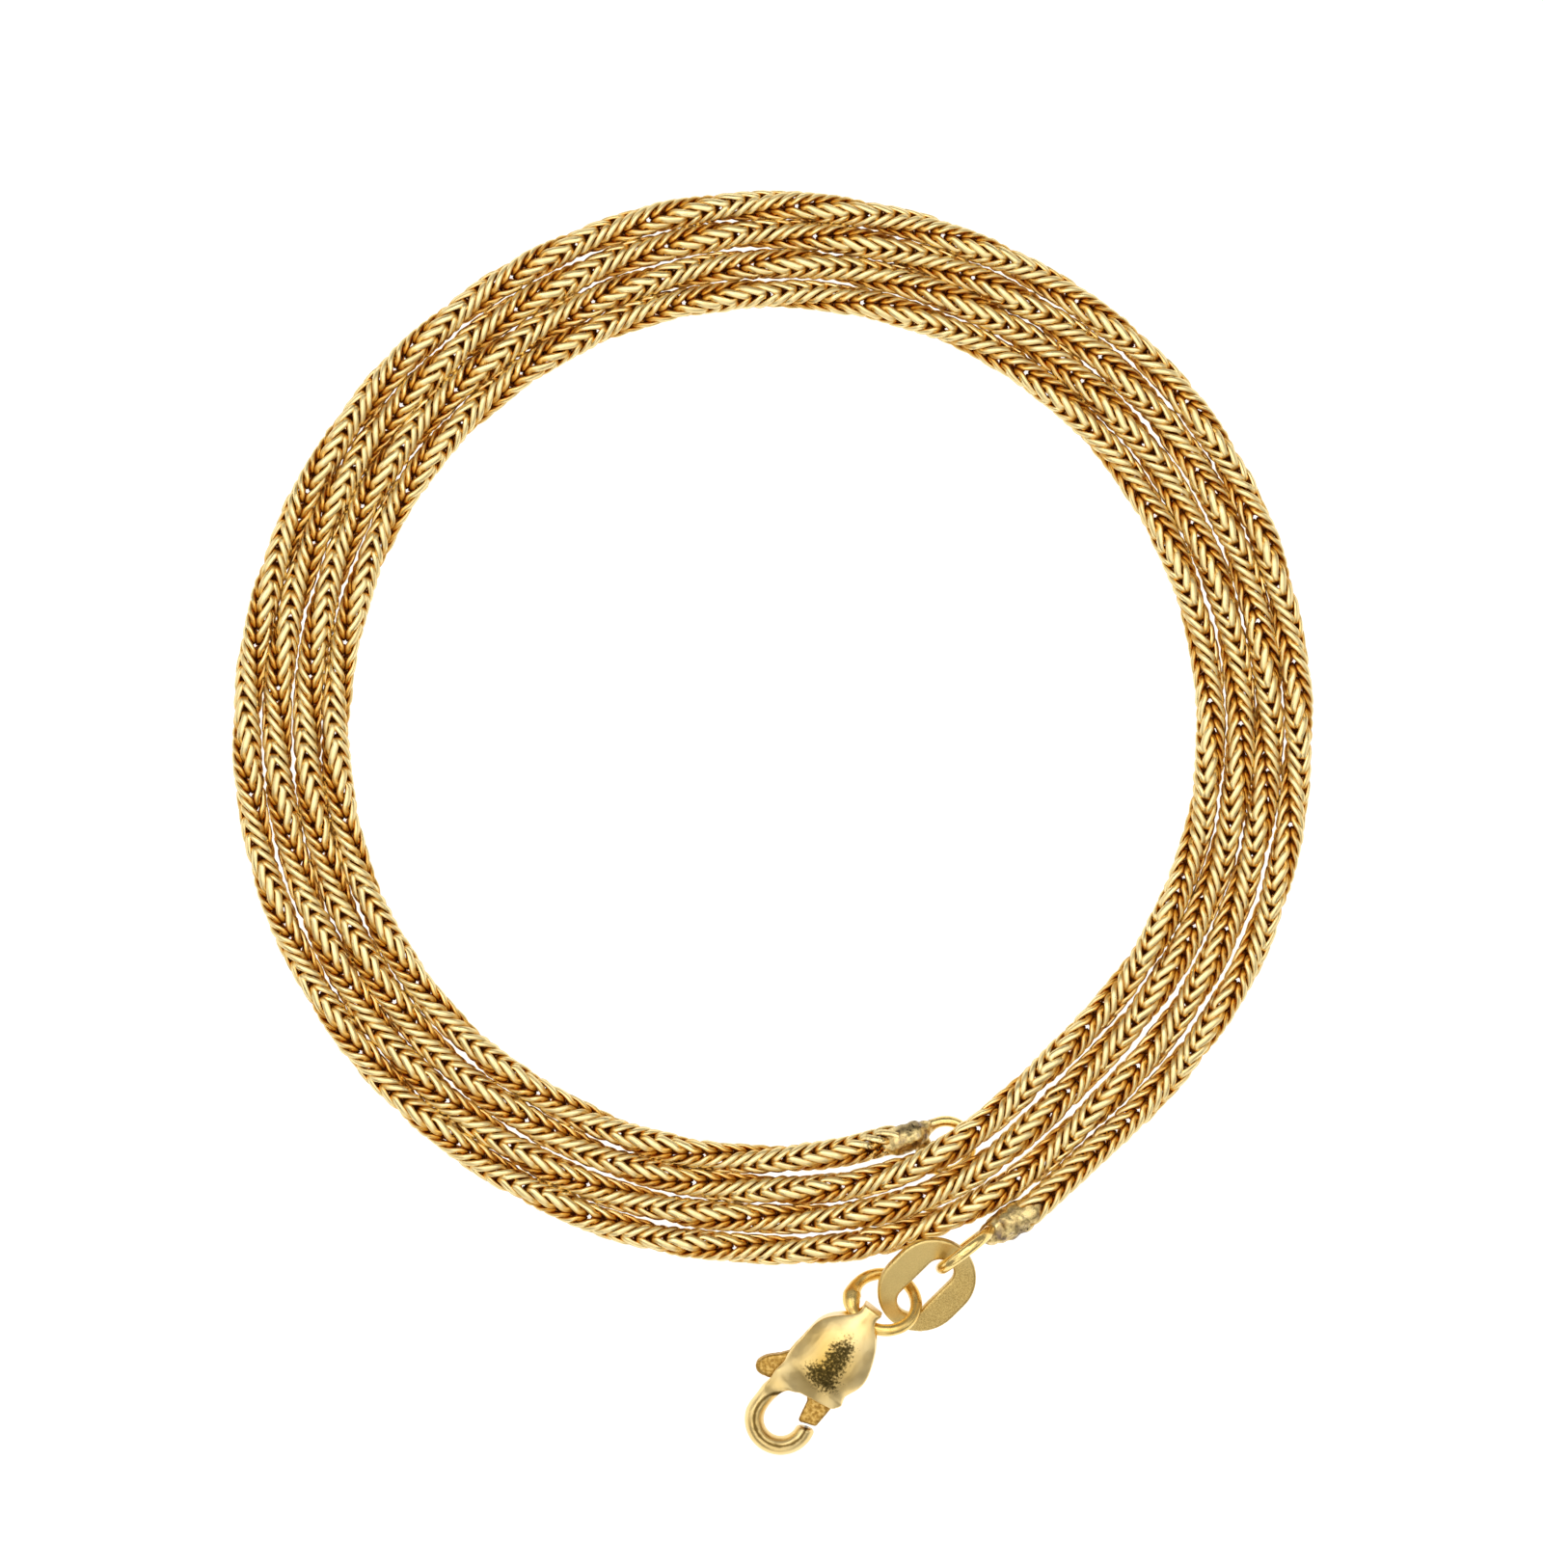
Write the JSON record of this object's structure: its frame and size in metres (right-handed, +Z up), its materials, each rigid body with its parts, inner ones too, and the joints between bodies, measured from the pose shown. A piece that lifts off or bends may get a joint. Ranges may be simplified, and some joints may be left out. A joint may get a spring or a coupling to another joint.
{
  "type": "wheat chain necklace",
  "caption": "Fine woven gold chain necklace, unfastened and coiled flat, with soldered end rings, an oval link, a jump ring and a lobster clasp.",
  "frame": {"origin": "on the floor, under the middle of the box of the whole coiled necklace", "axes": "+Z up from the floor, +X to the right and +Y away from the clasp side, seen from above"},
  "size_m": [0.0538, 0.063, 0.0036],
  "materials": {
    "chain_gold": "polished yellow gold wire",
    "solder_gold": "rough grey-gold solder",
    "link_gold": "satin yellow gold",
    "ring_gold": "polished yellow gold wire",
    "clasp_gold": "polished cast yellow gold with dark specks",
    "trigger_gold": "as-cast yellow gold"
  },
  "bodies": {
    "necklace": {"chain": "chain_gold", "inner_end_ring": "solder_gold", "outer_end_ring": "solder_gold", "oval_link": "link_gold", "jump_ring": "ring_gold", "clasp_body": "clasp_gold", "clasp_rivet": "clasp_gold"},
    "trigger": {"clasp_trigger": "trigger_gold"}
  },
  "joints": [
    {"name": "trigger_hinge", "type": "hinge", "parent": "necklace", "child": "trigger", "pos_m": [0.00309, -0.02796, 0.00158], "axis": [0.0508, 0.0643, -0.9966], "range_deg": [0, 28], "stiffness_Nm_per_rad": 0.004, "springref_deg": -22.92}
  ]
}
